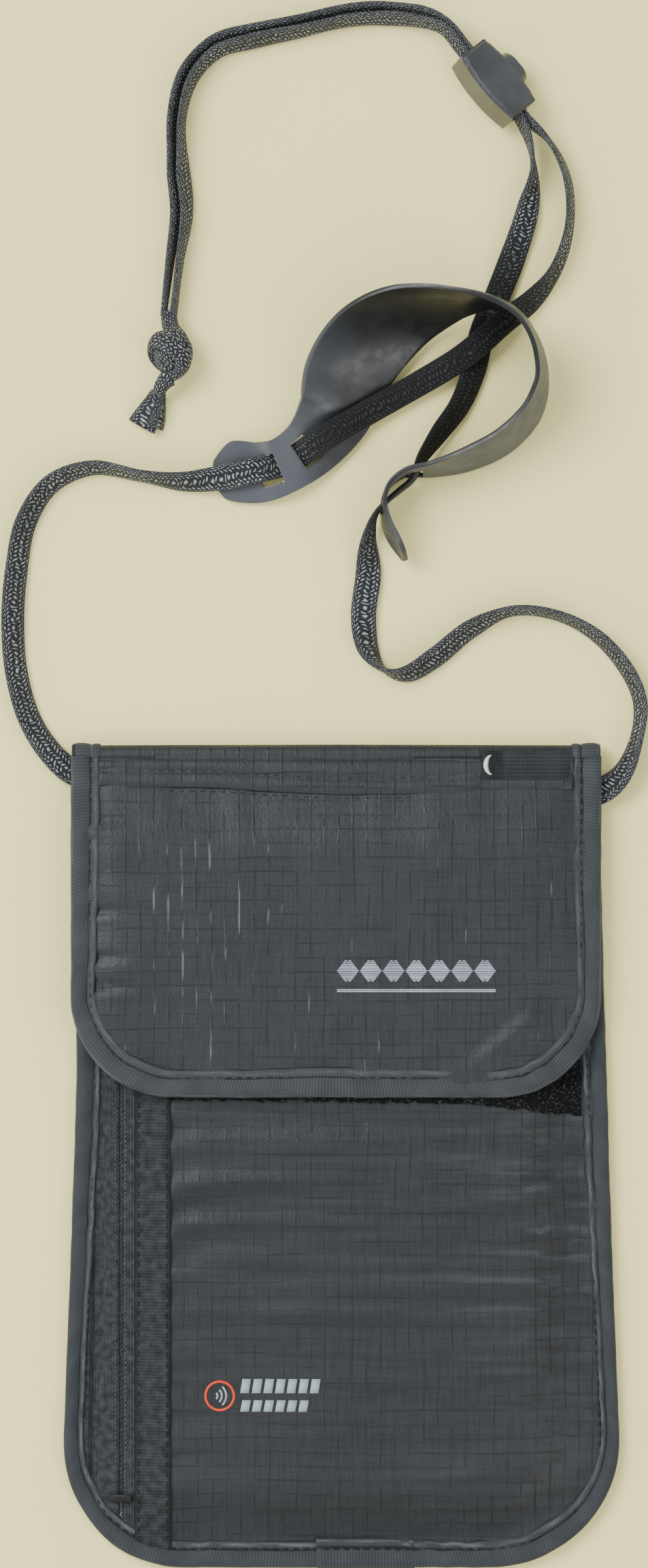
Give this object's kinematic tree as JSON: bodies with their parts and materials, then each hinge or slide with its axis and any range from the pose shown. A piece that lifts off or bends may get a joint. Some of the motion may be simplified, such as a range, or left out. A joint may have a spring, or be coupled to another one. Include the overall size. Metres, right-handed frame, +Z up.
{
  "type": "neck pouch wallet",
  "caption": "Flat fabric neck pouch with a hook-and-loop flap, a side zip pocket, an adjustable braided neck cord, a soft neck pad and a sliding cord lock.",
  "frame": {"origin": "centre of the pouch's footprint at the plane it lies on; the neck cord and what is on it are not counted", "axes": "+Z up out of the front of the pouch, +Y towards the fold of the flap and the neck cord, +X to the right as seen from the front"},
  "size_m": [0.1642, 0.3997, 0.0302],
  "materials": {
    "shell_fabric": "grey ripstop nylon with a fine square grid and a slight sheen",
    "foil_lining": "silver coated shielding fabric",
    "flap_lining_fabric": "plain woven nylon",
    "binding_tape": "matte folded woven tape",
    "grosgrain": "matte ribbed tape",
    "closure_tape": "black hook-and-loop pile",
    "printed_film": "thin printed badge, orange and pale grey",
    "zip_tape": "ribbed polyester tape",
    "zip_coil": "moulded nylon coil",
    "zip_metal": "dark painted die-cast zinc",
    "emblem_thread": "pale grey embroidery thread",
    "cord_braid": "flat tubular braid, black with grey flecks",
    "pad_elastomer": "smooth grey elastomer, satin",
    "lock_plastic": "moulded grey plastic, satin",
    "spring_wire": "plain wire"
  },
  "bodies": {
    "pouch": {"back_panel": "shell_fabric", "shield_liner": "foil_lining", "pocket_divider": "foil_lining", "front_panel": "shell_fabric", "mouth_binding": "binding_tape", "edge_binding": "binding_tape", "binding_overlap": "binding_tape", "loop_tape": "closure_tape", "printed_mark": "printed_film", "zip_facing": "grosgrain", "zip_tape_left": "zip_tape", "zip_tape_right": "zip_tape", "zip_coil_left": "zip_coil", "zip_coil_right": "zip_coil", "zip_top_stops": "zip_metal", "zip_bottom_stop": "zip_metal", "top_fold": "shell_fabric", "cord_anchor_left": "cord_braid", "cord_anchor_right": "cord_braid", "cord_left": "cord_braid", "cord_right": "cord_braid", "cord_knot": "cord_braid", "cord_tail": "cord_braid", "neck_pad": "pad_elastomer"},
    "flap": {"flap_panel": "shell_fabric", "flap_lining": "flap_lining_fabric", "flap_binding": "binding_tape", "flap_hem": "shell_fabric", "hook_tape": "closure_tape", "flap_emblem": "emblem_thread"},
    "zip_slider": {"zip_slider": "zip_metal", "zip_slider_bridge": "zip_metal"},
    "zip_pull": {"zip_pull": "zip_metal"},
    "cord_lock": {"lock_body": "lock_plastic", "lock_spring": "spring_wire"},
    "lock_button": {"lock_button": "lock_plastic"}
  },
  "joints": [
    {"name": "flap", "type": "hinge", "parent": "pouch", "child": "flap", "pos_m": [0, 0.1024, 0.00295], "axis": [-1, 0, 0], "range_deg": [0, 150], "deforming": ["top_fold"]},
    {"name": "zip_slide", "type": "slide", "parent": "pouch", "child": "zip_slider", "axis": [0, -1, 0], "range_m": [0, 0.128]},
    {"name": "zip_pull_lift", "type": "hinge", "parent": "zip_slider", "child": "zip_pull", "pos_m": [-0.0552, 0.0502, 0.00578], "axis": [-0.9791, 0, -0.2035], "range_deg": [0, 24]},
    {"name": "lock_slide", "type": "slide", "parent": "pouch", "child": "cord_lock", "axis": [-0.6428, 0.766, 0], "range_m": [0, 0.008]},
    {"name": "lock_press", "type": "slide", "parent": "cord_lock", "child": "lock_button", "axis": [-0.7103, -0.596, 0.3746], "range_m": [0, 0.0019], "stiffness_N_per_m": 200, "springref_m": -0.002, "deforming": ["lock_spring"]}
  ]
}
